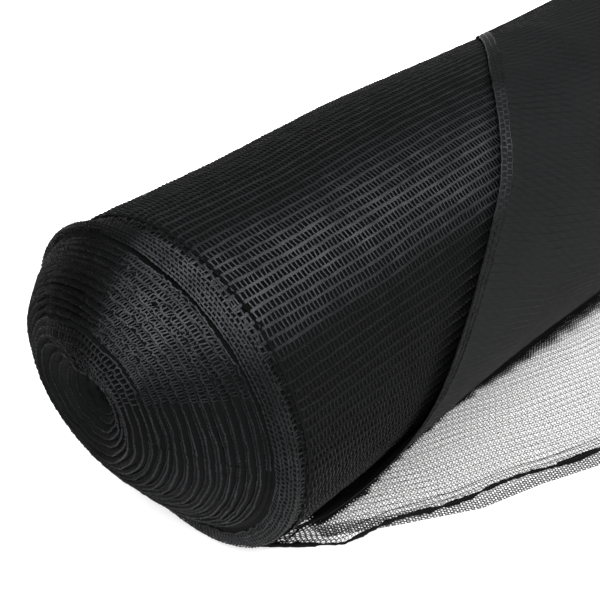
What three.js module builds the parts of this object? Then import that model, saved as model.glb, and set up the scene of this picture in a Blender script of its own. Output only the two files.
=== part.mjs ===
// A roll of knitted debris netting with its loose outer end laid out in front of it.
// Millimetres, +Z up. The roll lies along +X, its near end at the low X end and its front towards -Y.
// The shapes are worked out in a frame of their own, with x = 0 at the near rim, y = 0 on the roll's
// axis and z = 0 on the surface it rests on. The group then moves them so that the origin is at the
// middle of the bottom of the whole part.

import * as THREE from 'three';

// Driving dimensions of the roll
const rollLength = 1000;
const rollRadius = 111.5;
const axisHeight = 108.5;
const sectionSides = 60;
const bodyStep = 50;

// The uneven form of the roll along its length: how far its radius is over the nominal one, and how far
// its middle lies above the axis. Both fade out towards the bottom, where the roll lies flat.
const unevenRows = [
  { x: 0, over: 0, rise: 0 },
  { x: 50, over: -1, rise: -0.5 },
  { x: 100, over: -1, rise: -0.5 },
  { x: 150, over: -0.5, rise: 1.5 },
  { x: 200, over: -1.5, rise: 3.5 },
  { x: 250, over: -2, rise: 3.5 },
  { x: 300, over: -2, rise: 1.5 },
  { x: 350, over: -1, rise: -1.5 },
  { x: 400, over: -1, rise: -3 },
  { x: 450, over: -1, rise: -3 },
  { x: 550, over: -1, rise: -1.5 },
  { x: 700, over: 0, rise: 0 },
  { x: 1000, over: 0, rise: 0 },
];
const unevenFade = { fromSine: -0.95, toSine: -0.4 };

// The telescoped near end, from the rim to the core: the radius of a turn, how far it stands out past
// the rim, and how far its middle lies behind and above the roll's axis
const nearEndRows = [
  { radius: 111.5, out: -7, back: 0, up: 0 },
  { radius: 108.5, out: -1, back: 0, up: 0 },
  { radius: 109, out: 4, back: -1, up: 0.5 },
  { radius: 104, out: 8.5, back: -4, up: 4 },
  { radius: 97, out: 12.5, back: -6, up: 7 },
  { radius: 92.5, out: 12, back: -7, up: 8.5 },
  { radius: 79, out: 29, back: -4, up: 14 },
  { radius: 60, out: 44, back: 4, up: 17 },
  { radius: 38, out: 55, back: 5, up: 20 },
  { radius: 20, out: 54, back: -2, up: 25 },
  { radius: 9, out: 49, back: -4, up: 27 },
];
const coreDent = { out: 42, back: -6, up: 28 };
const rimRowCount = 5;
const turnCount = 6;
const ringsPerTurn = 4;
const turnRidge = 3.2;
const ridgeFade = { rimRings: 2, coreRings: 3 };

// The end bulges on its upper back side, as a share of the turn's radius
const bulgeShare = 0.2;
const bulgeAngle = 17;
const bulgeOnset = 15;

// The plain far end, its turns drawn in by a few millimetres
const farRounding = 6;
const farEndRows = [
  { radius: 108.5, inward: 0 },
  { radius: 103, inward: 2.5 },
  { radius: 88, inward: 3.5 },
  { radius: 70, inward: 4.5 },
  { radius: 48, inward: 5 },
  { radius: 24, inward: 6 },
];
const farCoreInward = 5;

// The loose sheet
const sheetThickness = 1.2;
const rollClearance = 1;
const sheetFarGap = 4;
const edgeLift = { height: 4, reach: 16, fadeFrom: 60, fadeTo: 98 };
const sheetColumns = 28;
const columnGrading = 1.5;
const layerGap = { height: 1.7, from: 14, to: 47 };

// Its near edge over the roll, by the angle up from the front: 0 is the front, 90 the top
const nearEdgeRows = [
  { angle: -12, x: 107 },
  { angle: 0, x: 119 },
  { angle: 11, x: 133 },
  { angle: 22, x: 153 },
  { angle: 32, x: 176 },
  { angle: 45, x: 210 },
  { angle: 66, x: 252 },
  { angle: 81, x: 285 },
  { angle: 103, x: 339 },
  { angle: 130, x: 398 },
  { angle: 160, x: 452 },
  { angle: 190, x: 497 },
  { angle: 220, x: 532 },
  { angle: 246, x: 556 },
];
const rearAngle = 246;
const leaveAngle = -12;
const angleStep = 9;

// Its near edge below that: on the way down to the surface, through the tuck, and along the surface
const hangRows = [
  { share: 0.2, x: 97 },
  { share: 0.4, x: 83 },
  { share: 0.6, x: 66 },
  { share: 0.8, x: 46 },
  { share: 1, x: 26 },
];
const tuckRows = [
  { share: 0.35, x: 23 },
  { share: 0.7, x: 20 },
  { share: 1, x: 18 },
];
const laidRows = [
  { share: 0.2, x: 17 },
  { share: 0.4, x: 16 },
  { share: 0.6, x: 14 },
  { share: 0.8, x: 12 },
  { share: 1, x: 9 },
];

// Where the sheet meets the surface and where its free edge lies, in front of the axis
const frontRows = [
  { x: 0, foot: 42, edge: 46 },
  { x: 9, foot: 47, edge: 53 },
  { x: 28, foot: 64, edge: 74 },
  { x: 51, foot: 72, edge: 98 },
  { x: 91, foot: 75, edge: 111 },
  { x: 139, foot: 70, edge: 133 },
  { x: 186, foot: 67, edge: 150 },
  { x: 237, foot: 66, edge: 173 },
  { x: 330, foot: 68, edge: 206 },
  { x: 500, foot: 76, edge: 246 },
  { x: 700, foot: 84, edge: 274 },
  { x: 1000, foot: 90, edge: 292 },
];
const tuckRadius = 5;
const tuckLookBack = 0.04;
const edgeWave = { height: 3, length: 83, start: 40 };
const crease = { x: 388, halfWidth: 34, height: 2, from: 30, to: 120, fade: 35 };

// The second layer under it, lying flat
const underThickness = 1.2;
const underPast = 10;
const underRows = [
  { x: 48, inner: 52, outer: 84 },
  { x: 70, inner: 44, outer: 98 },
  { x: 91, inner: 40, outer: 113 },
];
const underInner = 40;
const underStep = 38;
const underColumns = 3;

const colours = { roll: 0x242628, sheet: 0x2a2c2e, under: 0x303234 };

const radians = THREE.MathUtils.degToRad;
const { lerp, clamp, smoothstep } = THREE.MathUtils;

// Reads a column of a table at a value of its key, on straight lines between the rows
function read(rows, key, column, value) {
  const last = rows.length - 1;
  let i = 0;
  while (i < last - 1 && value > rows[i + 1][key]) i += 1;
  const share = (value - rows[i][key]) / (rows[i + 1][key] - rows[i][key]);
  return lerp(rows[i][column], rows[i + 1][column], clamp(share, 0, 1));
}

// A point by its angle up from the front and how far it stands off the roll, no lower than the surface
function around(x, angle, off) {
  const sine = Math.sin(radians(angle));
  const uneven = smoothstep(sine, unevenFade.fromSine, unevenFade.toSine);
  const radius = rollRadius + off + uneven * read(unevenRows, 'x', 'over', x);
  const z = axisHeight + uneven * read(unevenRows, 'x', 'rise', x) + radius * sine;
  return new THREE.Vector3(x, -radius * Math.cos(radians(angle)), Math.max(z, 0));
}

// A closed skin through rings of points, with a middle point at each end
function skin(rings, firstMiddle, lastMiddle) {
  const points = [firstMiddle, ...rings.flat(), lastMiddle];
  const sides = rings[0].length;
  const at = (ring, side) => 1 + ring * sides + (side % sides);
  const faces = [];
  for (let side = 0; side < sides; side += 1) {
    faces.push(0, at(0, side), at(0, side + 1));
    for (let ring = 0; ring < rings.length - 1; ring += 1) {
      const [a, b] = [at(ring, side), at(ring, side + 1)];
      const [c, d] = [at(ring + 1, side), at(ring + 1, side + 1)];
      faces.push(a, c, b, b, c, d);
    }
    faces.push(points.length - 1, at(rings.length - 1, side + 1), at(rings.length - 1, side));
  }
  return solid(points, faces);
}

// A closed sheet through a grid of points in its middle, half its thickness to either side
function sheet(grid, thickness) {
  const rows = grid.length;
  const columns = grid[0].length;
  const points = [];
  for (const side of [1, -1]) {
    for (let r = 0; r < rows; r += 1) {
      for (let c = 0; c < columns; c += 1) {
        const along = grid[r][Math.min(c + 1, columns - 1)].clone().sub(grid[r][Math.max(c - 1, 0)]);
        const across = grid[Math.min(r + 1, rows - 1)][c].clone().sub(grid[Math.max(r - 1, 0)][c]);
        const normal = along.cross(across).normalize();
        const point = grid[r][c].clone().addScaledVector(normal, side * thickness / 2);
        points.push(point.setZ(Math.max(point.z, 0)));
      }
    }
  }
  const at = (side, r, c) => side * rows * columns + r * columns + c;
  const faces = [];
  const quad = (a, b, c, d) => faces.push(a, b, c, a, c, d);
  for (let r = 0; r < rows - 1; r += 1) {
    for (let c = 0; c < columns - 1; c += 1) {
      quad(at(0, r, c), at(0, r, c + 1), at(0, r + 1, c + 1), at(0, r + 1, c));
      quad(at(1, r, c), at(1, r + 1, c), at(1, r + 1, c + 1), at(1, r, c + 1));
    }
  }
  for (let c = 0; c < columns - 1; c += 1) {
    quad(at(0, 0, c), at(1, 0, c), at(1, 0, c + 1), at(0, 0, c + 1));
    quad(at(0, rows - 1, c + 1), at(1, rows - 1, c + 1), at(1, rows - 1, c), at(0, rows - 1, c));
  }
  const last = columns - 1;
  for (let r = 0; r < rows - 1; r += 1) {
    quad(at(0, r + 1, 0), at(1, r + 1, 0), at(1, r, 0), at(0, r, 0));
    quad(at(0, r, last), at(1, r, last), at(1, r + 1, last), at(0, r + 1, last));
  }
  return solid(points, faces);
}

function solid(points, faces) {
  const geometry = new THREE.BufferGeometry().setFromPoints(points);
  geometry.setIndex(faces);
  geometry.computeVertexNormals();
  return geometry;
}

function piece(name, geometry, color) {
  const material = new THREE.MeshStandardMaterial({ color, roughness: 0.55, metalness: 0 });
  const mesh = new THREE.Mesh(geometry, material);
  mesh.name = name;
  return mesh;
}

// One turn's ring on the near end. The ridge of a turn winds inwards as it goes around.
function nearRing(row, ridge, turn) {
  const ring = [];
  for (let side = 0; side < sectionSides; side += 1) {
    const share = side / sectionSides;
    const angle = share * 360;
    const fromBulge = Math.cos(radians(angle - (180 - bulgeAngle)));
    const bulge = bulgeShare * Math.max(0, fromBulge) ** 2 * smoothstep(row.out, 0, bulgeOnset);
    const point = around(0, angle, row.radius * (1 + bulge) - rollRadius);
    const wind = 0.5 - 0.5 * Math.cos(2 * Math.PI * (turn - share));
    point.x = -row.out - ridge * wind;
    point.y += row.back;
    point.z = Math.max(point.z + row.up, 0);
    ring.push(point);
  }
  return ring;
}

function makeWoundRoll() {
  const rings = [];

  // Near end, from the core out to the rim
  const dome = nearEndRows.slice(rimRowCount).reverse();
  const ringCount = turnCount * ringsPerTurn;
  for (let i = 0; i <= ringCount; i += 1) {
    const row = { radius: lerp(dome[0].radius, dome.at(-1).radius, i / ringCount) };
    for (const column of ['out', 'back', 'up']) row[column] = read(dome, 'radius', column, row.radius);
    const fade = Math.min(1, i / ridgeFade.coreRings, (ringCount - i) / ridgeFade.rimRings);
    rings.push(nearRing(row, turnRidge * fade, -i / ringsPerTurn));
  }
  for (let i = rimRowCount - 1; i >= 0; i -= 1) rings.push(nearRing(nearEndRows[i], 0, 0));

  // Body
  const ringAt = (x, radius) => Array.from({ length: sectionSides }, (_, side) => (
    around(x, side * 360 / sectionSides, radius - rollRadius)));
  for (let x = bodyStep; x < rollLength; x += bodyStep) rings.push(ringAt(x, rollRadius));
  rings.push(ringAt(rollLength - farRounding, rollRadius));

  // Far end
  for (const row of farEndRows) rings.push(ringAt(rollLength - row.inward, row.radius));
  const nearMiddle = new THREE.Vector3(-coreDent.out, coreDent.back, axisHeight + coreDent.up);
  const farMiddle = new THREE.Vector3(rollLength - farCoreInward, 0, axisHeight);
  return piece('wound_roll', skin(rings, nearMiddle, farMiddle), colours.roll);
}

// How far the middle of the sheet stands off the roll, where it lies on it
function standOff(x, edgeX, angle) {
  const lift = edgeLift.height * Math.exp(-(x - edgeX) / edgeLift.reach);
  const lifted = 1 - smoothstep(angle, edgeLift.fadeFrom, edgeLift.fadeTo);
  const acrossCrease = clamp((x - crease.x) / crease.halfWidth, -1, 1);
  const ridge = crease.height * Math.cos(acrossCrease * Math.PI / 2) ** 2;
  const alongCrease = smoothstep(angle, crease.from, crease.from + crease.fade)
    * (1 - smoothstep(angle, crease.to - crease.fade, crease.to));
  return rollClearance + sheetThickness / 2 + lift * lifted + ridge * alongCrease;
}

// The height of the middle of the sheet where it lies on the surface, or on the layer under it
function laidHeight(x) {
  return sheetThickness / 2 + layerGap.height * smoothstep(x, layerGap.from, layerGap.to);
}

// The sheet where it has left the roll: a curve down to the surface, by the share of the way down
function hanging(x, edgeX, share) {
  const foot = read(frontRows, 'x', 'foot', x);
  const drop = axisHeight - laidHeight(x) - tuckRadius;
  const angle = lerp(leaveAngle, -THREE.MathUtils.radToDeg(Math.atan2(drop, foot)), share);
  const footOff = Math.hypot(foot, drop) - rollRadius;
  return around(x, angle, lerp(standOff(x, edgeX, leaveAngle), footOff, share ** 2));
}

// The tuck, where it turns from coming down to lying flat
function tuck(x, edgeX, share) {
  const start = hanging(x, edgeX, 1);
  const before = hanging(x, edgeX, 1 - tuckLookBack);
  const heading = Math.atan2(start.z - before.z, start.y - before.y);
  const radius = (start.z - laidHeight(x)) / (1 + Math.cos(heading));
  const middleY = start.y + radius * Math.sin(heading);
  const middleZ = start.z - radius * Math.cos(heading);
  const at = heading + Math.PI / 2 - (Math.PI + heading) * share;
  return new THREE.Vector3(x, middleY + radius * Math.cos(at), middleZ + radius * Math.sin(at));
}

// The part that lies on the surface, out to the free edge
function laid(x, edgeX, share) {
  const start = tuck(x, edgeX, 1);
  const edge = -read(frontRows, 'x', 'edge', x);
  const phase = 2 * Math.PI * Math.max(0, x - edgeWave.start) / edgeWave.length;
  const lift = edgeWave.height * (0.5 - 0.5 * Math.cos(phase)) * share ** 3;
  return new THREE.Vector3(x, lerp(start.y, edge, share), laidHeight(x) + lift);
}

function makeLooseSheet() {
  const rows = [];
  const steps = Math.round((rearAngle - leaveAngle) / angleStep);
  for (let i = 0; i <= steps; i += 1) {
    const angle = lerp(rearAngle, leaveAngle, i / steps);
    rows.push({
      edgeX: read(nearEdgeRows, 'angle', 'x', angle),
      place: (x, edgeX) => around(x, angle, standOff(x, edgeX, angle)),
    });
  }
  for (const [table, shape] of [[hangRows, hanging], [tuckRows, tuck], [laidRows, laid]]) {
    for (const row of table) rows.push({ edgeX: row.x, place: (x, edgeX) => shape(x, edgeX, row.share) });
  }
  const farX = rollLength - sheetFarGap;
  const grid = rows.map(({ edgeX, place }) => Array.from({ length: sheetColumns }, (_, column) => {
    const x = lerp(edgeX, farX, (column / (sheetColumns - 1)) ** columnGrading);
    return place(x, edgeX);
  }));
  return piece('loose_sheet', sheet(grid, sheetThickness), colours.sheet);
}

function makeUnderLayer() {
  const stations = [...underRows];
  const count = Math.round((rollLength - sheetFarGap - underRows.at(-1).x) / underStep);
  for (let i = 1; i <= count; i += 1) {
    const x = lerp(underRows.at(-1).x, rollLength - sheetFarGap, i / count);
    stations.push({ x, inner: underInner, outer: read(frontRows, 'x', 'edge', x) + underPast });
  }
  const grid = Array.from({ length: underColumns }, (_, column) => stations.map((station) => (
    new THREE.Vector3(
      station.x,
      -lerp(station.inner, station.outer, column / (underColumns - 1)),
      underThickness / 2,
    ))));
  return piece('under_layer', sheet(grid, underThickness), colours.under);
}

const part = new THREE.Group();
part.add(makeWoundRoll(), makeLooseSheet(), makeUnderLayer());
const box = new THREE.Box3().setFromObject(part);
const middle = box.getCenter(new THREE.Vector3());
part.position.set(-middle.x, -middle.y, -box.min.z);

export default part;
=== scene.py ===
"""A roll of black knitted debris netting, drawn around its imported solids.

Every shape is worked out in millimetres in the roll's own frame: x = 0 at the near rim, y = 0 on
the roll's axis and z = 0 on the surface it rests on. make_mesh puts the points into the model's
frame.
"""

import math
from collections import namedtuple

import bpy
import numpy as np
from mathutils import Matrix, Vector


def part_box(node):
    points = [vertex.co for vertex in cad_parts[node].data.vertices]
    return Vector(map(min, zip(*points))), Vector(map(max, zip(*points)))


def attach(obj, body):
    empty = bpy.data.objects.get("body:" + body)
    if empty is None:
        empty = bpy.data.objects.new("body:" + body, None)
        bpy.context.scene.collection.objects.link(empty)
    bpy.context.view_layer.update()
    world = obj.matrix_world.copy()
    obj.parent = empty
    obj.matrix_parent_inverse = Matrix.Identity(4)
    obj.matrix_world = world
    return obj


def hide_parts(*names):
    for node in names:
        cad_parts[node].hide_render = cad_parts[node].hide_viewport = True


MM = 0.001

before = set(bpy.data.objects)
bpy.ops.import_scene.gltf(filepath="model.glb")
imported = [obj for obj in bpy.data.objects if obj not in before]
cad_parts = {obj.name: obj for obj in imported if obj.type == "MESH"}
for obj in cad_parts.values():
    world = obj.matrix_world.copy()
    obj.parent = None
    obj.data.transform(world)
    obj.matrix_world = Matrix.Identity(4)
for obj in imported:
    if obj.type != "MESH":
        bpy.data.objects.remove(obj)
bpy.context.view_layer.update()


def table(columns, *rows):
    """A short table, as one array of numbers for each named column."""
    return dict(zip(columns.split(), np.array(rows, float).T))


# The roll
ROLL_LENGTH = 1000
ROLL_RADIUS = 111.5
AXIS_HEIGHT = 108.5
UNEVEN = table(
    "x over rise",
    (0, 0, 0),
    (50, -1, -0.5),
    (100, -1, -0.5),
    (150, -0.5, 1.5),
    (200, -1.5, 3.5),
    (250, -2, 3.5),
    (300, -2, 1.5),
    (350, -1, -1.5),
    (400, -1, -3),
    (450, -1, -3),
    (550, -1, -1.5),
    (700, 0, 0),
    (1000, 0, 0),
)
UNEVEN_FROM_SINE = -0.95
UNEVEN_TO_SINE = -0.4
UNEVEN_SOFTNESS = 15

# The telescoped near end, from the rim to the core
NEAR_END = table(
    "radius out back up",
    (111.5, -7, 0, 0),
    (108.5, -1, 0, 0),
    (109, 4, -1, 0.5),
    (104, 8.5, -4, 4),
    (97, 12.5, -6, 7),
    (92.5, 12, -7, 8.5),
    (79, 29, -4, 14),
    (60, 44, 4, 17),
    (38, 55, 5, 20),
    (20, 54, -2, 25),
    (9, 49, -4, 27),
    (0.5, 42, -6, 28),
)
BULGE_SHARE = 0.2
BULGE_ANGLE = 17
BULGE_ONSET = 15
FAR_END = table(
    "radius inward",
    (111.5, 6),
    (108.5, 0),
    (103, 2.5),
    (88, 3.5),
    (70, 4.5),
    (48, 5),
    (24, 6),
    (0.5, 5),
)

# The loose sheet, as in the solids
SHEET_THICKNESS = 1.2
ROLL_CLEARANCE = 1
SHEET_END = 996
EDGE_LIFT = 4
EDGE_LIFT_REACH = 16
EDGE_LIFT_FADE = (60, 98)
LAYER_GAP = 1.7
LAYER_GAP_OVER = (14, 47)
NEAR_EDGE = table(
    "angle x",
    (-12, 107),
    (0, 119),
    (11, 133),
    (22, 153),
    (32, 176),
    (45, 210),
    (66, 252),
    (81, 285),
    (103, 339),
    (130, 398),
    (160, 452),
    (190, 497),
    (220, 532),
    (246, 556),
)
REAR_ANGLE = 246
LEAVE_ANGLE = -12
HANG_EDGE = table("share x", (0, 107), (0.2, 97), (0.4, 83), (0.6, 66), (0.8, 46), (1, 26))
TUCK_EDGE = table("share x", (0, 26), (0.35, 23), (0.7, 20), (1, 18))
LAID_EDGE = table("share x", (0, 18), (0.2, 17), (0.4, 16), (0.6, 14), (0.8, 12), (1, 9))
FRONT = table(
    "x foot edge",
    (0, 42, 46),
    (9, 47, 53),
    (28, 64, 74),
    (51, 72, 98),
    (91, 75, 111),
    (139, 70, 133),
    (186, 67, 150),
    (237, 66, 173),
    (330, 68, 206),
    (500, 76, 246),
    (700, 84, 274),
    (1000, 90, 292),
)
TUCK_RADIUS = 5
TUCK_LOOK_BACK = 0.04
EDGE_WAVE = 3
EDGE_WAVE_LENGTH = 83
EDGE_WAVE_START = 40
CREASE_X = 388
CREASE_HALF_WIDTH = 34
CREASE_HEIGHT = 2
CREASE_ANGLES = (30, 120)
CREASE_FADE = 35

# The second layer, lying flat
UNDER_THICKNESS = 1.2
UNDER_PAST = 10
UNDER_START = table("x inner outer", (48, 52, 84), (70, 44, 98), (91, 40, 113))

# The knit's rows and stitches
ROW_PITCH = 5.5
STITCH_PITCH = 4.8
BODY_ROWS = 115
BODY_STITCH = 3

roll_lo, roll_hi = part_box("wound_roll")
ORIGIN = Vector((roll_hi.x - ROLL_LENGTH * MM, (roll_lo.y + roll_hi.y) / 2, 0))


def read(rows, key, column, value):
    """A column of a table at values of its key, on straight lines between the rows."""
    order = np.argsort(rows[key])
    return np.interp(value, rows[key][order], rows[column][order])


SOFT_STEPS = 5


def soft_read(rows, key, column, value, softness):
    """The same, with its corners rounded over the softness."""
    steps = np.linspace(-softness, softness, SOFT_STEPS)
    return np.mean([read(rows, key, column, value + step) for step in steps], axis=0)


def smoothstep(value, low, high):
    """0 at low and 1 at high, with soft ends."""
    share = np.clip((value - low) / (high - low), 0, 1)
    return share * share * (3 - 2 * share)


def lerp(a, b, share):
    """A share of the way from a to b."""
    return a + (b - a) * share


def points_of(x, y, z):
    """Points from their three coordinates."""
    return np.stack(np.broadcast_arrays(x, y, z), axis=-1).astype(float)


def unit(vectors):
    """The same directions, one unit long."""
    return vectors / np.maximum(np.linalg.norm(vectors, axis=-1, keepdims=True), 1e-9)


NOISE_STEPS = (12.9898, 78.233, 37.719)
NOISE_SCALE = 43758.5453


def noise(seed, *where):
    """Smooth noise from -1 to 1, on a lattice one unit wide."""
    where = [np.asarray(w, float) for w in np.broadcast_arrays(*where)]
    cells = [np.floor(w) for w in where]
    shares = [smoothstep(w - c, 0, 1) for w, c in zip(where, cells)]
    total = 0
    for corner in np.ndindex(*(2,) * len(where)):
        mix, weight = float(seed), 1
        for axis, high in enumerate(corner):
            mix = mix + (cells[axis] + high) * NOISE_STEPS[axis]
            weight = weight * (shares[axis] if high else 1 - shares[axis])
        total = total + weight * (2 * np.mod(np.sin(mix) * NOISE_SCALE, 1) - 1)
    return total


def around(x, angle, off):
    """Points by their angle up from the front, and how far they stand off the roll."""
    sine = np.sin(np.radians(angle))
    uneven = smoothstep(sine, UNEVEN_FROM_SINE, UNEVEN_TO_SINE)
    over, rise = (soft_read(UNEVEN, "x", c, x, UNEVEN_SOFTNESS) for c in ("over", "rise"))
    radius = ROLL_RADIUS + off + uneven * over
    z = AXIS_HEIGHT + uneven * rise + radius * sine
    return points_of(x, -radius * np.cos(np.radians(angle)), np.maximum(z, 0))


def grid_faces(rows, columns, wrap=False):
    """The four-sided faces of a grid of points, by their numbers."""
    r, c = np.mgrid[0 : rows - 1, 0 : columns if wrap else columns - 1]
    n = (c + 1) % columns
    faces = (r * columns + c, r * columns + n, (r + 1) * columns + n, (r + 1) * columns + c)
    return np.stack(faces, axis=-1).reshape(-1, 4)


# Painted highlight and shade on the net, by the angle up from the front: on the roll palest along
# one line at its upper front and near the rim, on the end palest at its upper front and darker
# towards the core
BODY_PAINTED_HIGHLIGHT = table(
    "angle pale",
    (-66, 0.03),
    (25, 0.03),
    (38, 0.06),
    (47, 0.5),
    (57, 0.9),
    (68, 0.6),
    (80, 0.12),
    (120, 0.08),
)
BODY_HIGHLIGHT_FADE = table("x pale", (0, 1), (60, 0.85), (200, 0.55), (330, 0.35), (600, 0.3))
BODY_EVEN_PALE = 0.12
END_PAINTED_HIGHLIGHT = table(
    "angle pale",
    (-180, 0.08),
    (-90, 0.08),
    (-60, 0.25),
    (-10, 0.3),
    (10, 0.2),
    (35, 0.15),
    (50, 0.5),
    (62, 0.9),
    (75, 1),
    (86, 0.5),
    (96, 0.1),
    (112, 0.01),
    (160, 0.05),
    (180, 0.08),
)
END_HIGHLIGHT_IN = table(
    "radius pale",
    (0, 0),
    (12, 0.1),
    (24, 0.2),
    (45, 0.4),
    (62, 0.75),
    (75, 1),
    (112, 1),
)
END_EVEN_PALE = 0.2
CORE_SHIFT = (-6, 28)
CORE_SHIFT_OVER = 50


def share_above(pale, even, share):
    """As pale as the even tone at most, and a share of what is above it."""
    return np.minimum(pale, even) + np.maximum(pale - even, 0) * share


def painted_light(points):
    """The painted highlight and shade on the net: how pale it is by the angle around the axis, or
    around the core on the end.
    """
    x, y, z = points.T
    shift = smoothstep(-x, 0, CORE_SHIFT_OVER)
    y, z = y - CORE_SHIFT[0] * shift, z - AXIS_HEIGHT - CORE_SHIFT[1] * shift
    angle = np.degrees(np.arctan2(z, -y))
    body, end = read(BODY_PAINTED_HIGHLIGHT, "angle", "pale", angle), read(END_PAINTED_HIGHLIGHT, "angle", "pale", angle)
    body = share_above(body, BODY_EVEN_PALE, read(BODY_HIGHLIGHT_FADE, "x", "pale", x))
    end = share_above(end, END_EVEN_PALE, read(END_HIGHLIGHT_IN, "radius", "pale", np.hypot(y, z)))
    return np.where(x > 0, body, end)


def make_mesh(name, points, faces, material, smooth=True, pale=None):
    """A mesh in the scene from points in the roll's frame, with the painted highlight and shade of
    their place on the roll, or one even tone.
    """
    mesh = bpy.data.meshes.new(name)
    points = np.asarray(points, float).reshape(-1, 3)
    pale = painted_light(points) if pale is None else np.full(len(points), pale)
    points[:, 2] = np.maximum(points[:, 2], 0)
    points = points * MM + np.array(ORIGIN)
    mesh.from_pydata(points.tolist(), [], np.asarray(faces).tolist())
    give_points(mesh, "pale", pale)
    mesh.materials.append(material)
    mesh.shade_smooth() if smooth else mesh.shade_flat()
    piece = bpy.data.objects.new(name, mesh)
    bpy.context.scene.collection.objects.link(piece)
    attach(piece, "root")
    return piece


def give_points(mesh, name, values):
    """A number for each point of a mesh, for its material to read."""
    attribute = mesh.attributes.new(name, "FLOAT", "POINT")
    attribute.data.foreach_set("value", values.astype(np.float32).ravel())


# Materials

YARN_PATCHES = 60.0
YARN_GRAIN = 900.0
YARN_CONTRAST = 4.0
YARN_ROUGHNESS_SPREAD = 0.25
YARN_BUMP = 0.35
YARN_BUMP_HEIGHT = 0.0004
LAY_IN_PITCH = 2.4
LAY_IN_SLANT = 0.6
LAY_IN_SHARE = 0.095
THREAD_ALPHA = 0.6
DENSE_SHARE = 0.42
SECOND_LAYER_SLANT = 0.45
SHADOW_SHARE = 0.45
SHADOW_PATCHES = 35.0
SHADOW_CONTRAST = 5.0
FLOOR_GLOW = 0.6
MIX_COLOUR_INPUTS = (6, 7)
MIX_COLOUR_OUTPUT = 2


class Shader:
    """A material's nodes, made and linked in one call each."""

    def __init__(self, name):
        self.material = bpy.data.materials.new(name)
        self.material.use_nodes = True
        self.tree = self.material.node_tree
        self.tree.nodes.clear()
        output = self.tree.nodes.new("ShaderNodeOutputMaterial")
        self.surface = self.tree.nodes.new("ShaderNodeBsdfPrincipled")
        self.tree.links.new(self.surface.outputs[0], output.inputs["Surface"])

    def give(self, socket, value):
        """A socket's value, or a link to it."""
        if isinstance(value, bpy.types.NodeSocket):
            self.tree.links.new(value, socket)
        else:
            socket.default_value = value

    def set(self, **inputs):
        """The shader's own inputs, by name."""
        for name, value in inputs.items():
            self.give(self.surface.inputs[name.replace("_", " ")], value)

    def node(self, kind, output=0, settings=(), **inputs):
        """One output of a new node."""
        node = self.tree.nodes.new("ShaderNode" + kind)
        for key, value in dict(settings).items():
            setattr(node, key, value)
        for name, value in inputs.items():
            self.give(node.inputs[name.replace("_", " ")], value)
        return node.outputs[output]

    def math(self, operation, *values):
        """The result of a sum on values or sockets."""
        node = self.tree.nodes.new("ShaderNodeMath")
        node.operation = operation
        for socket, value in zip(node.inputs, values):
            self.give(socket, value)
        return node.outputs[0]

    def mix(self, share, *colours):
        """From the first colour to the second."""
        node = self.tree.nodes.new("ShaderNodeMix")
        node.data_type = "RGBA"
        self.give(node.inputs["Factor"], share)
        for number, colour in zip(MIX_COLOUR_INPUTS, colours):
            self.give(node.inputs[number], colour)
        return node.outputs[MIX_COLOUR_OUTPUT]

    def grain(self, scale, detail=3.0):
        """Noise over the object."""
        place = self.node("TexCoord", "Object")
        return self.node("TexNoise", "Fac", Vector=place, Scale=scale, Detail=detail)


def yarn_material(name, dark, light, roughness, gloss):
    """Black plastic yarn: paler along its painted highlight from the pale attribute, broken into
    duller and paler stretches, with fine streaks and a soft sheen.
    """
    m = Shader(name)
    pale = m.node("Attribute", "Fac", settings={"attribute_name": "pale"})
    patches, grain = m.grain(YARN_PATCHES), m.grain(YARN_GRAIN)
    uneven = m.math("MULTIPLY", m.math("MULTIPLY", patches, grain), YARN_CONTRAST)
    m.set(
        Base_Color=m.mix(m.math("MULTIPLY", pale, uneven), dark, light),
        Roughness=m.math("ADD", m.math("MULTIPLY", grain, YARN_ROUGHNESS_SPREAD), roughness),
        Specular_IOR_Level=gloss,
        Normal=m.node("Bump", Height=grain, Strength=YARN_BUMP, Distance=YARN_BUMP_HEIGHT),
    )
    return m.material


def ground_material(name, colour):
    """The fine lay-in threads between the yarns: open mesh, close to shut along an edge band."""
    m = Shader(name)
    cloth = m.node("UVMap", settings={"uv_map": "cloth"})
    split = m.tree.nodes.new("ShaderNodeSeparateXYZ")
    m.give(split.inputs[0], cloth)
    u, v = split.outputs[0], split.outputs[1]
    dense = m.node("Attribute", "Fac", settings={"attribute_name": "dense"})
    share = m.math("ADD", m.math("MULTIPLY", dense, DENSE_SHARE), LAY_IN_SHARE)
    threads = []
    for operation in ("ADD", "SUBTRACT"):
        slant = m.math(operation, u, m.math("MULTIPLY", v, LAY_IN_SLANT))
        wave = m.math("PINGPONG", m.math("DIVIDE", slant, LAY_IN_PITCH), 0.5)
        threads.append(m.math("LESS_THAN", wave, share))
    solid = m.math("MINIMUM", 1.0, m.math("ADD", THREAD_ALPHA, dense))
    row = m.math("ADD", v, m.math("MULTIPLY", u, SECOND_LAYER_SLANT))
    row = m.math("PINGPONG", m.math("DIVIDE", row, ROW_PITCH), 0.5)
    patches = m.math("MULTIPLY", m.grain(SHADOW_PATCHES), SHADOW_CONTRAST)
    shadow = m.math("MULTIPLY", m.math("MULTIPLY", row, row), patches)
    m.set(
        Base_Color=m.mix(shadow, colour, tuple(SHADOW_SHARE * c for c in colour[:3]) + (1,)),
        Alpha=m.math("MULTIPLY", m.math("MAXIMUM", *threads), solid),
        Roughness=0.6,
        Specular_IOR_Level=0.04,
    )
    return m.material


def floor_material():
    """A plain pale surface with a little light of its own, so that it stays white all over."""
    m = Shader("pale_floor")
    m.set(
        Base_Color=m.mix(m.grain(4.0), (0.86, 0.86, 0.86, 1), (0.9, 0.9, 0.9, 1)),
        Roughness=0.8,
        Emission_Color=(1, 1, 1, 1),
        Emission_Strength=FLOOR_GLOW,
    )
    return m.material


# The yarn's light colour is its colour at the full painted highlight
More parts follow.
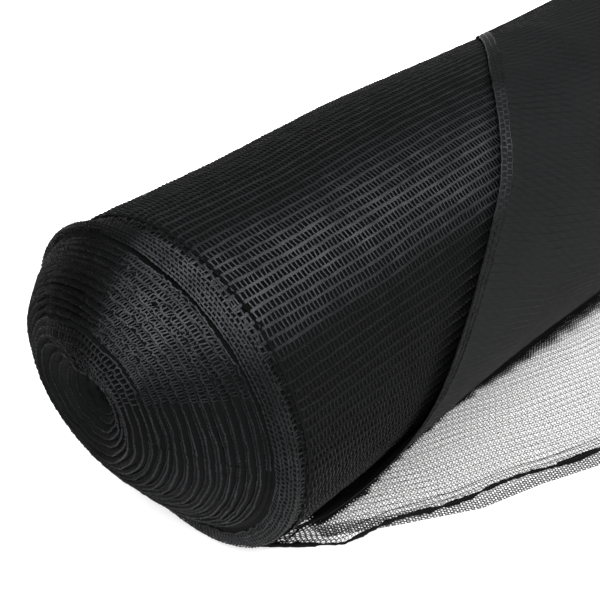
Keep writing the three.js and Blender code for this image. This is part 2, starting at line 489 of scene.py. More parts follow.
YARN = yarn_material(
    "black_yarn",
    dark=(0.0015, 0.0015, 0.0015, 1),
    light=(0.055, 0.057, 0.062, 1),
    roughness=0.36,
    gloss=0.05,
)
# The wound turns under the knit: painted shade, darker where the knit over them has its painted
# highlight, so their light colour is the darker one
INNER_TURNS = yarn_material(
    "inner_turns",
    dark=(0.004, 0.0042, 0.0042, 1),
    light=(0.001, 0.001, 0.001, 1),
    roughness=0.6,
    gloss=0.03,
)
GROUND = ground_material("lay_in_threads", (0.0075, 0.0078, 0.0082, 1))


# The knit: a chain's size at a stitch and between two, and the width of the threads across
Chain = namedtuple("Chain", "width waist height dip thread")
BODY_CHAIN = Chain(2.3, 1.3, 0.95, 0.4, 0.8)
LIP_CHAIN = Chain(1.4, 0.7, 0.9, 0.4, 0.75)
RIM_CHAIN = Chain(1.4, 0.6, 0.9, 0.3, 0.8)
NEAR_CHAIN = Chain(1.7, 1.0, 0.6, 0.6, 1.2)
FREE_CHAIN = Chain(0.6, 0.6, 0.25, 0.25, 0.4)
HUNG_CHAIN = Chain(1.0, 1.0, 0.4, 0.4, 0.22)
LAID_CHAIN = Chain(0.3, 0.3, 0.1, 0.1, 0.22)
UNDER_CHAIN = Chain(0.34, 0.34, 0.1, 0.1, 0.22)
THREAD_RISE = 0.4

# How uneven the net is, as waves: each one's seed, its size, and how many there are to a unit
WAVES = {
    "body lumps": [(3, 0.5, 1 / 70, 1 / 25)],
    "row wander": [(11, 0.16, 1 / 45, 1 / 3), (12, 0.05, 1 / 9, 1)],
    "row slip": [(13, 0.5, 1 / 20, 0.7), (48, 0.4, 1 / 1.7, 1)],
    "row height": [(14, 0.2, 1 / 6, 1)],
    "row swell": [(15, 0.25, 1 / 4, 1), (49, 0.15, 1 / 60, 0.9)],
    "turns together": [(21, 1.4, 2.5, 2.5, 1 / 14)],
    "turns alone": [(22, 0.5, 1 / 23), (25, 0.3, 1 / 7)],
    "turns tall": [(23, 0.45, 1 / 55), (24, 0.35, 0.9 / 360)],
    "turns mesh": [(27, 0.25, 1 / 1.8, 3)],
    "lip slip": [(28, 0.4, 0.9, 1)],
    "lip swell": [(29, 0.35, 0.7, 1)],
    "lip ragged": [(30, 0.1, 0.4, 1), (47, 0.1, 0.9, 1)],
    "lip wander": [(51, 0.05, 1 / 9, 1)],
    "rim mesh": [(26, 0.35, 1.1, 1 / 1.7)],
    "rim wander": [(31, 0.8, 1 / 3, 1)],
    "rim slip": [(46, 0.25, 1.1, 1)],
    "rim swell": [(32, 0.4, 1.1, 1 / 3)],
    "foot wander": [(43, 2, 1 / 5)],
    "sheet wander": [(33, 0.9, 1 / 30, 1 / 12), (34, 0.35, 1 / 4, 1 / 5)],
    "sheet swell": [(35, 0.35, 1 / 3, 1 / 4)],
    "near wander": [(36, 0.5, 1 / 3, 1)],
    "near lift": [(45, 1, 1 / 7, 1)],
    "near swell": [(37, 0.35, 1 / 4, 1)],
    "free wander": [(38, 0.4, 1 / 4, 1)],
    "selvage swell": [(39, 0.5, 1 / 7), (40, 0.3, 1 / 2.2)],
    "selvage sides": [(42, 0.2, 1 / 1.5, 1)],
    "under wander": [(41, 0.5, 1 / 25, 1 / 9)],
}


def waver(name, *where):
    """The sum of the waves of that name."""
    return sum(
        size * noise(seed, *(place * wave for place, wave in zip(where, waves)))
        for seed, size, *waves in WAVES[name]
    )


def beaded(chain, columns, swell=1):
    """A chain's width and height, up and down from one node to the next."""
    stitch = np.arange(columns) % 2 == 0
    width = np.where(stitch, chain.width, chain.waist)
    height = np.where(stitch, chain.height, chain.dip)
    return width * swell, height * swell


def knit(nodes, width, height, thread, keep=True, every=2, arch=0.0, tie=True):
    """Chains of stitches along the rows of a grid of nodes, with threads from each row to the next.

    width and height are the chain's, at each node. The threads leave at every so many nodes, in the
    gaps of the row before, and arch up by a share of the height. keep and tie say at which nodes
    there is net, and threads. Returns points and faces."""
    along = unit(np.gradient(nodes, axis=1))
    normal = unit(np.cross(np.gradient(nodes, axis=0), along))
    side = np.cross(along, normal)
    rows, columns = nodes.shape[:2]
    width, height = (np.broadcast_to(a, (rows, columns))[..., None] for a in (width, height))
    keep, tie = (np.broadcast_to(a, (rows, columns)) for a in (keep, tie))
    left, right = nodes - side * width / 2, nodes + side * width / 2
    crest = nodes + normal * height
    points = [part.reshape(-1, 3) for part in (left, crest, right)]
    count = rows * columns
    number = np.arange(count).reshape(rows, columns)
    here, there = number[:, :-1], number[:, 1:]
    shown = keep[:, :-1] & keep[:, 1:]
    faces = []
    for first, second in ((0, count), (count, 2 * count)):
        corners = (here + first, there + first, there + second, here + second)
        faces.append(np.stack(corners, -1)[shown])
    i, j = np.mgrid[0 : rows - 1, 0:columns]
    tied = ((j + i * (every // 2)) % every == 0) & keep[:-1] & keep[1:] & tie[:-1]
    i, j = i[tied], j[tied]
    start, end = left[i + 1, j], right[i, j]
    lift = normal[i, j] * height[i, j] * THREAD_RISE
    middle = (start + end) / 2 + normal[i, j] * height[i, j] * arch
    slide = along[i, j] * thread / 2
    ring = [start + lift - slide, start + lift + slide, middle + lift + slide]
    ring += [middle + lift - slide, end + lift + slide, end + lift - slide]
    ties = 3 * count + 6 * np.arange(len(i))[:, None]
    points.append(np.stack(ring, 1).reshape(-1, 3))
    faces += [ties + [0, 1, 2, 3], ties + [3, 2, 4, 5]]
    used, faces = np.unique(np.concatenate(faces), return_inverse=True)
    return np.concatenate(points)[used], faces.reshape(-1, 4)


def joined(parts):
    """Several (points, faces) as one."""
    points, faces, base = [], [], 0
    for p, f in parts:
        points.append(p)
        faces.append(f + base)
        base += len(p)
    return np.concatenate(points), np.concatenate(faces)


# The roll's body

# Runs along the body: the first x, the last and how many
BODY_STATIONS = ((4, 600, 60), (640, 990, 10), (994, 994, 1))
BODY_ROW_POINTS = 4
BODY_SINK = 1.1
BODY_RIDGE = 0.35
BODY_FLAT_SINE = -0.9
OUTER_TURN_X = (-2.5, 600)
OUTER_TURN_ANGLES = (-66, 250)
OUTER_TURN_SINK = 0.55
LUMPS_FROM_RIM = 20
UNDER_SHEET = 12


def make_body():
    """The wound turns under the outer one: a ridge under each row, over the whole length."""
    around_count = BODY_ROWS * BODY_ROW_POINTS
    x = np.concatenate([np.linspace(*run) for run in BODY_STATIONS])
    angle = np.arange(around_count) * 360 / around_count
    a, b = np.meshgrid(angle, x)
    row = a * BODY_ROWS / 360
    ridge = BODY_RIDGE * np.cos(2 * np.pi * row)
    lumps = waver("body lumps", b, a) * (np.sin(np.radians(a)) > BODY_FLAT_SINE)
    points = around(b, a, -BODY_SINK + ridge + lumps)
    return points, grid_faces(len(x), around_count, wrap=True)


def make_body_yarns():
    """The outer turn's knit, where the loose sheet leaves it open."""
    first_x, last_x = OUTER_TURN_X
    x = np.arange(first_x, last_x, BODY_STITCH / 2)
    rows = np.arange(*(round(angle * BODY_ROWS / 360) for angle in OUTER_TURN_ANGLES))
    r, b = np.meshgrid(rows, x, indexing="ij")
    angle = (r + waver("row wander", b, r)) * 360 / BODY_ROWS
    over_rim = np.interp(b, -NEAR_END["out"][2::-1], NEAR_END["radius"][2::-1] - ROLL_RADIUS)
    lumps = waver("body lumps", b, angle) * smoothstep(b, 0, LUMPS_FROM_RIM)
    off = lumps - OUTER_TURN_SINK + waver("row height", b, r) + over_rim
    nodes = around(b + waver("row slip", b, r), angle, off)
    edge = read(NEAR_EDGE, "angle", "x", np.clip(angle, LEAVE_ANGLE, REAR_ANGLE))
    open_to = np.where(angle > LEAVE_ANGLE, edge + UNDER_SHEET, last_x)
    width, height = beaded(BODY_CHAIN, len(x), 1 + waver("row swell", b, r))
    open_net = (b < open_to)[::-1]
    rows = nodes[::-1], width[::-1], height[::-1]
    return knit(*rows, BODY_CHAIN.thread, keep=open_net, arch=-0.2)


# The near end


def end_path():
    """Distances along the near end's profile, from the rim to the core."""
    steps = np.hypot(np.diff(NEAR_END["radius"]), np.diff(NEAR_END["out"]))
    return np.concatenate([[0], np.cumsum(steps)])


END_PATH = end_path()
END_SOFTNESS = 1.2
SPIRAL_FROM = END_PATH[5]
SPIRAL_SOFTNESS = 12
SPIRAL_FADE = (SPIRAL_FROM - 2, SPIRAL_FROM + 3)
RIM_OVERLAP = 1
TURN_PITCH = 4.7
TURNS = 25
TURN_STEPS = 300
TURN_SECTION = table(
    "share rise",
    (0, -1),
    (0.1, -1.2),
    (0.18, 0.6),
    (0.32, 1.5),
    (0.55, 1),
    (0.8, 0),
    (1, -1),
)
CORE_FADE = (122, 138)
RIM_GRID_ROWS = 60
RIM_GRID_COLUMNS = 420
RIM_MESH_FADE = (3, 8)
RIM_INSET = 1.2
RIM_INSET_FADE = (8, 13)
CONE_DEPTH = 2.4
CONE_STEP = 3
CONE_ROWS = 40

# Runs of turns: the first, the last, the stitches to a turn and the chains on each
LIP_RUNS = ((0, 12, 480, 2), (12, 22, 190, 1))
LIP_SHARE = 0.32
SECOND_CHAIN_SHARE = 0.78
ROUGH_MIDDLE = 80
ROUGH_FADE = (60, 40)
ROUGH_LEAST = 0.12
ROUGH_OPEN = 0.5
RIM_ROWS = [5, 9, 12.5, 15.5, 18.5, 21.5, 24.5, 28]
RIM_STITCHES = 381
RIM_LIFT = 0.7


def near_end(path, angle, lift=0):
    """Points on the near end by the distance in from the rim and the angle up from the front."""
    rows = dict(NEAR_END, path=END_PATH)
    radius, out, back, up = (
        soft_read(rows, "path", c, path, END_SOFTNESS) for c in ("radius", "out", "back", "up")
    )
    from_bulge = np.maximum(0, np.cos(np.radians(angle - (180 - BULGE_ANGLE))))
    bulge = BULGE_SHARE * from_bulge**2 * smoothstep(out, 0, BULGE_ONSET)
    points = around(0 * radius, angle, radius * (1 + bulge) - ROLL_RADIUS)
    points[..., 0] = -out - lift
    points[..., 1] += back
    points[..., 2] = np.maximum(points[..., 2] + up, 0)
    return points


def turn_edge(wound):
    """Distance in from the rim of the turns' edge, by the degrees wound from the outside in."""
    path = SPIRAL_FROM + TURN_PITCH * wound / 360
    cosine, sine = np.cos(np.radians(wound)), np.sin(np.radians(wound))
    uneven = waver("turns together", cosine, sine, path) + waver("turns alone", wound)
    return path + uneven * smoothstep(path, SPIRAL_FROM, SPIRAL_FROM + SPIRAL_SOFTNESS)


def on_turns(wound, share, rise):
    """Points on the turns by the degrees wound, the share of the way to the next, and the rise."""
    path = lerp(turn_edge(wound), turn_edge(wound + 360), share)
    fade = smoothstep(path, *SPIRAL_FADE) * (1 - smoothstep(path, *CORE_FADE))
    path = np.clip(path, SPIRAL_FROM - RIM_OVERLAP, END_PATH[-1])
    return near_end(path, wound, rise * (1 + waver("turns tall", wound)) * fade)


def make_near_rim():
    """The end from the roll's edge in to the first of the spiral's turns."""
    path = np.linspace(0, SPIRAL_FROM + RIM_OVERLAP, RIM_GRID_ROWS)
    angle = np.arange(RIM_GRID_COLUMNS) * 360 / RIM_GRID_COLUMNS
    a, p = np.meshgrid(angle, path)
    points = near_end(p, a, waver("rim mesh", a, p) * smoothstep(p, *RIM_MESH_FADE))
    outward = points_of(0, -np.cos(np.radians(a)), np.sin(np.radians(a)))
    points -= RIM_INSET * (1 - smoothstep(p, *RIM_INSET_FADE))[..., None] * outward
    points[..., 2] = np.maximum(points[..., 2], 0)
    return points, grid_faces(RIM_GRID_ROWS, RIM_GRID_COLUMNS, wrap=True)[:, ::-1]


def make_near_turns():
    """The turns' edges, and the shut cone behind them."""
    wound = np.linspace(-360, 360 * (TURNS - 1), TURNS * TURN_STEPS + 1)
    w, share = np.meshgrid(wound, TURN_SECTION["share"], indexing="ij")
    rise = TURN_SECTION["rise"] + waver("turns mesh", w, share)
    edges = on_turns(w, share, rise), grid_faces(*w.shape)
    path = np.linspace(SPIRAL_FADE[0], END_PATH[-1], CONE_ROWS)
    a, path = np.meshgrid(np.arange(0, 360, CONE_STEP), path)
    cone = near_end(path, a, -CONE_DEPTH), grid_faces(*a.shape, wrap=True)[:, ::-1]
    return joined([(points.reshape(-1, 3), faces) for points, faces in (edges, cone)])


def make_lips(first, last, columns, chains):
    """Stitches along a run of turns' lips: ragged in the upper part, with threads between them."""
    chain = np.arange(first * chains, last * chains)[:, None]
    number = (chain // chains) * columns + np.arange(columns + 1)
    wound = number * 360 / columns + waver("lip slip", number, chain)
    from_front = np.mod(wound + 180, 360) - 180
    rough = lerp(ROUGH_LEAST, 1, smoothstep(np.abs(from_front - ROUGH_MIDDLE), *ROUGH_FADE))
    share = np.where(chain % chains == 0, LIP_SHARE, SECOND_CHAIN_SHARE)
    share = share + waver("lip wander", number, chain) + rough * waver("lip ragged", number, chain)
    nodes = on_turns(wound, share, read(TURN_SECTION, "share", "rise", share))
    width, height = beaded(LIP_CHAIN, columns + 1, 1 + waver("lip swell", number, chain))
    open_net = (rough > ROUGH_OPEN)[::-1]
    return knit(nodes[::-1], width, height, LIP_CHAIN.thread, arch=0.5, tie=open_net)


def make_rim_band():
    """The close rows of stitches around the rim."""
    path = np.array(RIM_ROWS)[:, None]
    angle = np.linspace(0, 360, RIM_STITCHES)
    turned = angle + waver("rim slip", angle, path)
    nodes = near_end(path + waver("rim wander", angle, path), turned, RIM_LIFT)
    width, height = beaded(RIM_CHAIN, RIM_STITCHES, 1 + waver("rim swell", angle, path))
    return knit(nodes[::-1], width, height, RIM_CHAIN.thread)


def make_near_yarns():
    """All the stitches on the end."""
    return joined([make_lips(*run) for run in LIP_RUNS] + [make_rim_band()])


# The far end

FAR_ROWS = 60
FAR_COLUMNS = 180
FAR_RELIEF = 1.0
FAR_RELIEF_FADE = (0.1, 0.2)


def make_far_end():
    """The plain end: nearly flat, with a plain spiral."""
    path = np.linspace(0, 1, FAR_ROWS)
    rows = dict(FAR_END, share=np.linspace(0, 1, len(FAR_END["radius"])))
    angle = np.arange(FAR_COLUMNS) * 360 / FAR_COLUMNS
    a, p = np.meshgrid(angle, path)
    radius, inward = (read(rows, "share", c, p) for c in ("radius", "inward"))
    share = np.mod(radius / TURN_PITCH + a / 360, 1)
    relief = FAR_RELIEF * np.abs(2 * share - 1) * smoothstep(p, *FAR_RELIEF_FADE)
    points = around(ROLL_LENGTH - inward - relief, a, radius - ROLL_RADIUS)
    return points, grid_faces(len(path), len(angle), wrap=True)


# The loose sheet


def stand_off(x, edge_x, angle):
    """How far the middle of the sheet stands off the roll, where it lies on it."""
    lift = EDGE_LIFT * np.exp(-np.maximum(0, x - edge_x) / EDGE_LIFT_REACH)
    lifted = 1 - smoothstep(angle, *EDGE_LIFT_FADE)
    across = np.clip((x - CREASE_X) / CREASE_HALF_WIDTH, -1, 1)
    ridge = CREASE_HEIGHT * np.cos(across * np.pi / 2) ** 2
    low, high = CREASE_ANGLES
    along = smoothstep(angle, low, low + CREASE_FADE)
    along = along * (1 - smoothstep(angle, high - CREASE_FADE, high))
    return ROLL_CLEARANCE + SHEET_THICKNESS / 2 + lift * lifted + ridge * along


def laid_height(x):
    """The height of the laid sheet's middle, more where the second layer is under it."""
    return SHEET_THICKNESS / 2 + LAYER_GAP * smoothstep(x, *LAYER_GAP_OVER)


def on_roll(x, edge_x, angle):
    """The sheet where it lies on the roll."""
    return around(x, angle, stand_off(x, edge_x, angle))


def hanging(x, edge_x, share):
    """The sheet where it has left the roll, by the share of the way down."""
    foot = read(FRONT, "x", "foot", x)
    drop = AXIS_HEIGHT - laid_height(x) - TUCK_RADIUS
    angle = lerp(LEAVE_ANGLE, -np.degrees(np.arctan2(drop, foot)), share)
    foot_off = np.hypot(foot, drop) - ROLL_RADIUS
    return around(x, angle, lerp(stand_off(x, edge_x, LEAVE_ANGLE), foot_off, share**2))


def tuck(x, edge_x, share):
    """Where it turns from coming down to lying flat."""
    start = hanging(x, edge_x, 1)
    before = hanging(x, edge_x, 1 - TUCK_LOOK_BACK)
    heading = np.arctan2(start[..., 2] - before[..., 2], start[..., 1] - before[..., 1])
    radius = (start[..., 2] - laid_height(x)) / (1 + np.cos(heading))
    middle_y = start[..., 1] + radius * np.sin(heading)
    middle_z = start[..., 2] - radius * np.cos(heading)
    at = heading + np.pi / 2 - (np.pi + heading) * share
    return points_of(x, middle_y + radius * np.cos(at), middle_z + radius * np.sin(at))


def laid(x, edge_x, share):
    """The part that lies on the surface, out to the free edge and a little past it."""
    start = tuck(x, edge_x, 1)
    edge = -read(FRONT, "x", "edge", x)
    phase = 2 * np.pi * np.maximum(0, x - EDGE_WAVE_START) / EDGE_WAVE_LENGTH
    lift = EDGE_WAVE * (0.5 - 0.5 * np.cos(phase)) * share**3
    return points_of(x, lerp(start[..., 1], edge, share), laid_height(x) + lift)


class Sheet:
    """The loose sheet as a surface, by x and by the distance s down it from its rear edge.

    Its near edge is known by the distance v up from the free edge."""

    STEP = 4.0
    ROW_STEP = 2.0
    ANGLE_STEP = 2.0

    # Each part's shape, its near edge and its number of rows
    PARTS = ((hanging, HANG_EDGE, 30), (tuck, TUCK_EDGE, 10), (laid, LAID_EDGE, 40))
    PAST_FREE_EDGE = 1.5

    # Keeps a place in the grid off its last line
    INSIDE = 1.001

    def __init__(self):
        self.x = np.arange(0, SHEET_END + 2 * self.STEP, self.STEP)
        rows = []
        for angle in np.arange(REAR_ANGLE, LEAVE_ANGLE, -self.ANGLE_STEP):
            rows.append((on_roll, angle, read(NEAR_EDGE, "angle", "x", angle)))
        for shape, edge, count in self.PARTS:
            foot_row = len(rows)
            for share in np.arange(count) / count:
                rows.append((shape, share, read(edge, "share", "x", share)))
        free_row = len(rows)
        rows += [(laid, share, LAID_EDGE["x"][-1]) for share in (1.0, self.PAST_FREE_EDGE)]
        points = np.stack([shape(self.x, edge, value) for shape, value, edge in rows])
        steps = np.linalg.norm(np.diff(points, axis=0), axis=-1)
        down = np.concatenate([np.zeros((1, len(self.x))), np.cumsum(steps, axis=0)])
        self.free_s, self.foot_s = down[free_row], down[foot_row]
        self.edge_x = np.array([edge for _, _, edge in rows])[free_row::-1]
        to_free = [
            self.end(x) - np.interp(x, self.x, distance)
            for x, distance in zip(self.edge_x, down[free_row::-1])
        ]
        self.edge_v = np.maximum.accumulate(np.array(to_free))
        self.s = np.arange(0, down[-1].max(), self.ROW_STEP)
        self.points = np.stack(
            [
                np.stack([np.interp(self.s, down[:, i], points[:, i, c]) for c in range(3)], -1)
                for i in range(len(self.x))
            ]
        )

    def near(self, v):
        """x of the near edge at v."""
        return np.interp(v, self.edge_v, self.edge_x)

    def foot(self, x):
        """s where it starts to lie flat at x."""
        return np.interp(x, self.x, self.foot_s)

    def end(self, x):
        """s of the free edge at x."""
        return np.interp(x, self.x, self.free_s)

    def at(self, x, s):
        """Points on the sheet."""
        i = np.clip(x / self.STEP, 0, len(self.x) - self.INSIDE)
        j = np.clip(s / self.ROW_STEP, 0, len(self.s) - self.INSIDE)
        i0, j0 = i.astype(int), j.astype(int)
        fi, fj = (i - i0)[..., None], (j - j0)[..., None]
        p = self.points
        low = lerp(p[i0, j0], p[i0, j0 + 1], fj)
        high = lerp(p[i0 + 1, j0], p[i0 + 1, j0 + 1], fj)
        return lerp(low, high, fi)


SHEET_WIDTH = 987
BAND = 12

# Runs of the loose sheet's grid, as shares of its length or width: the first, the last, how many.
# The columns along the near edge are in millimetres.
GROUND_ROWS = ((0, 0.03, 14), (0.033, 0.28, 76), (0.29, 1, 60))
EDGE_COLUMNS = (0, 16, 9)
INNER_COLUMNS = (0.04, 1, 80)
INNER_COLUMNS_POWER = 1.2

# Where the near edge is looked for first, and in how many rounds it is found
EDGE_GUESS = 300.0
EDGE_ROUNDS = 40

# How dense the fine threads are at places on the sheets, and over what reach they thin out. The
# hanging sheet down to its foot and the second layer's inner part gathered up to the roll are close
# to shut partly as painted shade, for the shadowed gap under the roll
NEAR_BAND_DENSE, NEAR_BAND = 0.2, 14
FREE_BAND_DENSE, FREE_BAND = 0.05, 11
CORNER_DENSE, CORNER_FADE = 0.3, (15, 60)
NEAR_PART_DENSE, NEAR_PART_FADE = 0.09, (60, 300)
HANG_SHADE_FROM = (24, 60)
FOOT_SHUT = -2
FOOT_OPEN, FOOT_OPEN_MORE, FOOT_OPEN_X = 1.5, 16, (180, 330)
OUTER_BAND_DENSE, OUTER_BAND = 0.28, 14
GATHERED_SHADE_FROM, GATHERED_SHADE_FADE = (48, 58), (-1, 4)

# The loose sheet's yarns, its close chains and its rolled edge
SHEET_ROWS_TO = 800
OFF_FLOOR = (-5, 15)
CLOSE_PITCH = 2.4
NEAR_ROWS = [0.8, 6, 11]
NEAR_ROWS_FROM = 2
NEAR_ROW_WIDTHS = [1, 0.7, 0.7]
NEAR_LIFT = (0, -0.3, 0.3)
FREE_ROWS = [11, 6, 1.5]
FREE_ROWS_FROM = 14
FREE_ROWS_INSIDE = 1
SHEET_PALE = 0.08
SELVAGE_PALE = 0.02
SELVAGE_SIDES = 8
SELVAGE_RADIUS = 1.5
SELVAGE_FROM = 10
SELVAGE_STEP = 1.6
SELVAGE_IN = 0.4
SELVAGE_UP = 0.5
SELVAGE_TWIST = 6


def dense_band(distance, width):
    """1 in a band along an edge, fading out over its last third."""
    return 1 - smoothstep(distance, width * 0.7, width)


def cloth_piece(name, points, uv, dense, material):
    """A grid of cloth with its flat coordinates and how dense it is at each point."""
    rows, columns = points.shape[:2]
    piece = make_mesh(name, points, grid_faces(rows, columns), material)
    mesh = piece.data
    corner = np.empty(len(mesh.loops), int)
    mesh.loops.foreach_get("vertex_index", corner)
    layer = mesh.uv_layers.new(name="cloth")
    layer.data.foreach_set("uv", uv.reshape(-1, 2)[corner].astype(np.float32).ravel())
    give_points(mesh, "dense", dense)
    return piece


def flat_area(points):
    """Half the cross products of a grid's diagonals, summed."""
    a = points[1:, 1:] - points[:-1, :-1]
    b = points[1:, :-1] - points[:-1, 1:]
    return float(np.linalg.norm(np.cross(a, b), axis=-1).sum() / 2)


def make_loose_ground(sheet):
    """The fine threads of the loose sheet: a grid from its near edge, found in a few rounds."""
    shares = np.concatenate([np.linspace(*run) for run in GROUND_ROWS])
    columns = [np.linspace(*EDGE_COLUMNS) / SHEET_WIDTH]
    columns = np.concatenate(columns + [np.linspace(*INNER_COLUMNS) ** INNER_COLUMNS_POWER])
    starts = np.full(len(shares), EDGE_GUESS)
    for _ in range(EDGE_ROUNDS):
        starts = sheet.near(shares * sheet.end(starts))
    x = lerp(starts[:, None], SHEET_END, columns)
    v = shares[:, None] * sheet.end(x)
    s = sheet.end(x) - v
    u = x - sheet.near(v)
    points = sheet.at(x, s)
    past_foot = s - sheet.foot(x) + waver("foot wander", x)
    foot_open = FOOT_OPEN + FOOT_OPEN_MORE * smoothstep(x, *FOOT_OPEN_X)
    # The hanging part is close to shut down to its foot: partly the net's own fold, partly painted
    # shade for the dark gap behind it
    dense = np.maximum.reduce(
        [
            smoothstep(x, *HANG_SHADE_FROM) * (1 - smoothstep(past_foot, FOOT_SHUT, foot_open)),
            NEAR_BAND_DENSE * dense_band(u, NEAR_BAND),
            FREE_BAND_DENSE * dense_band(v, FREE_BAND),
            CORNER_DENSE * (1 - smoothstep(np.hypot(u, v), *CORNER_FADE)),
            NEAR_PART_DENSE * (1 - smoothstep(u, *NEAR_PART_FADE)),
        ]
    )
    uv = np.stack([u, v], -1)
    piece = cloth_piece("loose_sheet_ground", points[::-1], uv[::-1], dense[::-1], GROUND)
    return piece, flat_area(points)


def make_loose_yarns(sheet):
    """The loose sheet's knit: rows along its free edge, stitches along its near edge."""
    v = np.arange(BAND, SHEET_ROWS_TO, ROW_PITCH)
    u = np.arange(BAND, SHEET_END, STITCH_PITCH)
    v, u = np.meshgrid(v, u, indexing="ij")
    x = sheet.near(v) + u
    s = sheet.end(x) - v
    keep = (x < SHEET_END) & (s > 0)
    x, s = np.clip(x, 0, SHEET_END), np.clip(s, 0, None)
    off_floor = smoothstep(sheet.foot(x) - s, *OFF_FLOOR)
    nodes = sheet.at(x, s + waver("sheet wander", u, v))
    swell = 1 + waver("sheet swell", u, v)
    width = lerp(LAID_CHAIN.width, HUNG_CHAIN.width, off_floor) * swell
    height = lerp(LAID_CHAIN.height, HUNG_CHAIN.height, off_floor) * swell
    rows = nodes[::-1], width[::-1], height[::-1]
    return knit(*rows, HUNG_CHAIN.thread, keep=keep[::-1], every=1)


def make_bands(sheet):
    """The close chains along the near edge and the free edge, with threads from one to the next."""
    v = np.arange(NEAR_ROWS_FROM, sheet.edge_v[-1], CLOSE_PITCH)
    u, along = np.meshgrid(NEAR_ROWS, v, indexing="ij")
    x = sheet.near(along) + u + waver("near wander", along, u)
    near = sheet.at(x, sheet.end(x) - along)
    near = near + waver("near lift", along, u)[..., None] * np.array(NEAR_LIFT)
    width, _ = beaded(NEAR_CHAIN, len(v), 1 + waver("near swell", along, u))
    width = width * np.array(NEAR_ROW_WIDTHS)[:, None]
    parts = [knit(near, width, NEAR_CHAIN.height, NEAR_CHAIN.thread, arch=0.4)]
    x = np.arange(FREE_ROWS_FROM, SHEET_END, CLOSE_PITCH)
    v, along = np.meshgrid(FREE_ROWS, x, indexing="ij")
    free = sheet.at(along, sheet.end(along) - v + waver("free wander", along, v))
    chain, keep = FREE_CHAIN, along > sheet.near(v) + FREE_ROWS_INSIDE
    parts.append(knit(free, chain.width, chain.height, chain.thread, keep=keep))
    return joined(parts)


def make_selvage(sheet):
    """The free edge, rolled over on itself by the knit: thicker and thinner, with a twist."""
    x = np.arange(SELVAGE_FROM, SHEET_END, SELVAGE_STEP)
    middle = sheet.at(x, sheet.end(x) - SELVAGE_IN)
    radius = SELVAGE_RADIUS * (1 + waver("selvage swell", x))
    middle[:, 2] = np.maximum(middle[:, 2] + SELVAGE_UP, radius)
    turn = np.linspace(0, 2 * np.pi, SELVAGE_SIDES, endpoint=False) + x[:, None] / SELVAGE_TWIST
    ring = points_of(0, np.cos(turn), np.sin(turn)) * radius[:, None, None]
    ring = ring * (1 + waver("selvage sides", x[:, None], turn))[..., None]
    return middle[:, None, :] + ring, grid_faces(len(x), SELVAGE_SIDES, wrap=True)


# The second layer

UNDER_GRID_ROWS = 30
UNDER_GRID_COLUMNS = 180
UNDER_EDGE_ROWS = [0.2, 2.4, 4.8, 7.2]
UNDER_ROWS = (10.5, 260)


def under_outline(x):
    """The second layer's inner and outer edge."""
    past = FRONT["x"] > UNDER_START["x"][-1]
    stations = np.concatenate([UNDER_START["x"], FRONT["x"][past]])
    outer = np.concatenate([UNDER_START["outer"], FRONT["edge"][past] + UNDER_PAST])
    return read(UNDER_START, "x", "inner", x), np.interp(x, stations, outer)


def make_under_ground():
    """The fine threads of the second layer, from under the roll out to its edge."""
    x = np.linspace(UNDER_START["x"][0], SHEET_END, UNDER_GRID_COLUMNS)
    inner, outer = under_outline(x)
    y = -lerp(inner, outer, np.linspace(0, 1, UNDER_GRID_ROWS)[:, None])
    points = points_of(x, y, UNDER_THICKNESS / 2)
    past_foot = -y - read(FRONT, "x", "foot", x)
    # Its inner part, gathered up against the roll, is close to shut: partly gathered net, partly
    # painted shade under the roll's overhang
    gathered_shade = smoothstep(x, *GATHERED_SHADE_FROM) * (1 - smoothstep(past_foot, *GATHERED_SHADE_FADE))
    dense = np.maximum(OUTER_BAND_DENSE * dense_band(outer + y, OUTER_BAND), gathered_shade)
    uv = points[..., :2]
    piece = cloth_piece("under_layer_ground", points[::-1], uv[::-1], dense[::-1], GROUND)
    return piece, flat_area(points)


def make_under_yarns():
    """The second layer's knit, with close rows along its outer edge."""
    x = np.arange(UNDER_START["x"][0], SHEET_END, STITCH_PITCH)
    inner, outer = under_outline(x)
    rows = np.concatenate([UNDER_EDGE_ROWS, np.arange(*UNDER_ROWS, ROW_PITCH)])[:, None]
    y = -(outer - rows)
    keep = -y > inner
    nodes = points_of(x, y, UNDER_THICKNESS / 2)
    nodes[..., 1] += waver("under wander", x, rows)
    chain = UNDER_CHAIN
    sizes = chain.width, chain.height, chain.thread
    return knit(nodes[::-1], *sizes, keep=keep[::-1], every=1)


# The object

body = make_mesh("roll_body", *make_body(), INNER_TURNS)
body_yarns = make_mesh("roll_outer_turn", *make_body_yarns(), YARN, smooth=False)
near_rim = make_mesh("near_end_rim", *make_near_rim(), INNER_TURNS)
near_turns = make_mesh("near_end_turns", *make_near_turns(), INNER_TURNS)
near_yarns = make_mesh("near_end_yarns", *make_near_yarns(), YARN, smooth=False)
far = make_mesh("far_end_turns", *make_far_end(), INNER_TURNS)
for piece in (body, body_yarns, near_rim, near_turns, near_yarns, far):
    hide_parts("wound_roll")

loose = Sheet()
knit_look = dict(material=YARN, smooth=False, pale=SHEET_PALE)
loose_ground, loose_area = make_loose_ground(loose)
loose_yarns = make_mesh("loose_sheet_yarns", *make_loose_yarns(loose), **knit_look)
# The edge bands take the painted highlight of their place on the roll
loose_bands = make_mesh("loose_sheet_bands", *make_bands(loose), YARN, smooth=False)
loose_selvage = make_mesh("loose_sheet_selvage", *make_selvage(loose), YARN, pale=SELVAGE_PALE)
for piece in (loose_ground, loose_yarns, loose_bands, loose_selvage):
    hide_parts("loose_sheet")

under_ground, under_area = make_under_ground()
under_yarns = make_mesh("under_layer_yarns", *make_under_yarns(), **knit_look)
for piece in (under_ground, under_yarns):
    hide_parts("under_layer")

# The stage

CAMERA_PLACE = Vector((-293.09, -384.90, 523.73))
CAMERA_AZIMUTH = -46.53
CAMERA_ELEVATION = 36.23
CAMERA_LENS = 62.83
CAMERA_SENSOR = 36
CAMERA_NEAREST = 0.01
FLOOR_HALF = 30
WORLD_STRENGTH = 0.45
LIGHT_SPREAD = 35

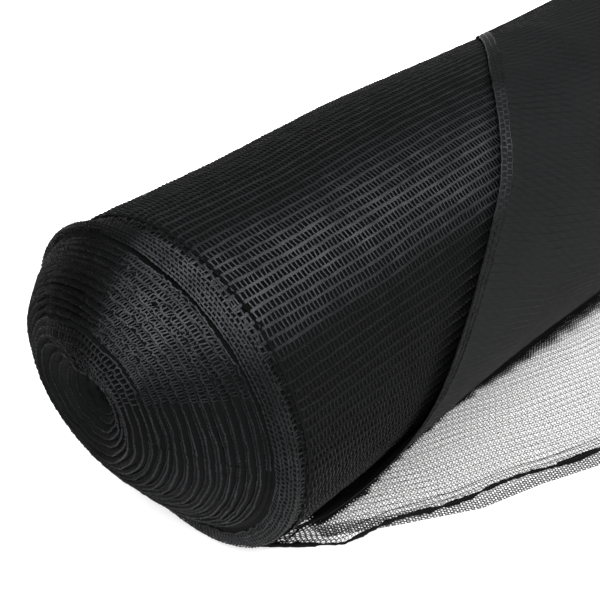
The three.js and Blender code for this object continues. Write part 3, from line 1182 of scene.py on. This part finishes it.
# Each light's direction and strength
LIGHTS = {"key": ((-0.304, -0.293, 0.906), 1.35), "side": ((0.586, -0.440, 0.682), 0.5)}


def make_camera():
    """The camera at the photograph's place and angle."""
    camera = bpy.data.objects.new("camera", bpy.data.cameras.new("camera"))
    bpy.context.scene.collection.objects.link(camera)
    camera.data.lens = CAMERA_LENS
    camera.data.sensor_width = CAMERA_SENSOR
    camera.data.clip_start = CAMERA_NEAREST
    azimuth, elevation = math.radians(CAMERA_AZIMUTH), math.radians(CAMERA_ELEVATION)
    flat = math.cos(elevation)
    back = Vector((math.sin(azimuth) * flat, -math.cos(azimuth) * flat, math.sin(elevation)))
    camera.location = ORIGIN + CAMERA_PLACE * MM
    camera.rotation_mode = "QUATERNION"
    camera.rotation_quaternion = (-back).to_track_quat("-Z", "Y")
    bpy.context.scene.camera = camera


def make_light(name, towards, strength):
    """Soft light from far off, in a direction seen from the object."""
    data = bpy.data.lights.new(name, "SUN")
    data.energy = math.pi * strength
    data.angle = math.radians(LIGHT_SPREAD)
    light = bpy.data.objects.new(name, data)
    bpy.context.scene.collection.objects.link(light)
    light.rotation_mode = "QUATERNION"
    light.rotation_quaternion = (-Vector(towards)).to_track_quat("-Z", "Y")


def make_stage():
    """The pale floor, the plain white surroundings and the soft lights."""
    mesh = bpy.data.meshes.new("floor")
    corners = ((-1, -1), (1, -1), (1, 1), (-1, 1))
    corners = [(x * FLOOR_HALF, y * FLOOR_HALF, 0) for x, y in corners]
    mesh.from_pydata(corners, [], [(0, 1, 2, 3)])
    mesh.materials.append(floor_material())
    floor = bpy.data.objects.new("floor", mesh)
    bpy.context.scene.collection.objects.link(floor)
    world = bpy.data.worlds.new("studio")
    world.use_nodes = True
    background = world.node_tree.nodes["Background"]
    background.inputs["Color"].default_value = (1, 1, 1, 1)
    background.inputs["Strength"].default_value = WORLD_STRENGTH
    bpy.context.scene.world = world
    for name, (towards, strength) in LIGHTS.items():
        make_light(name, towards, strength)
    bpy.context.scene.view_settings.view_transform = "Standard"


make_camera()
make_stage()
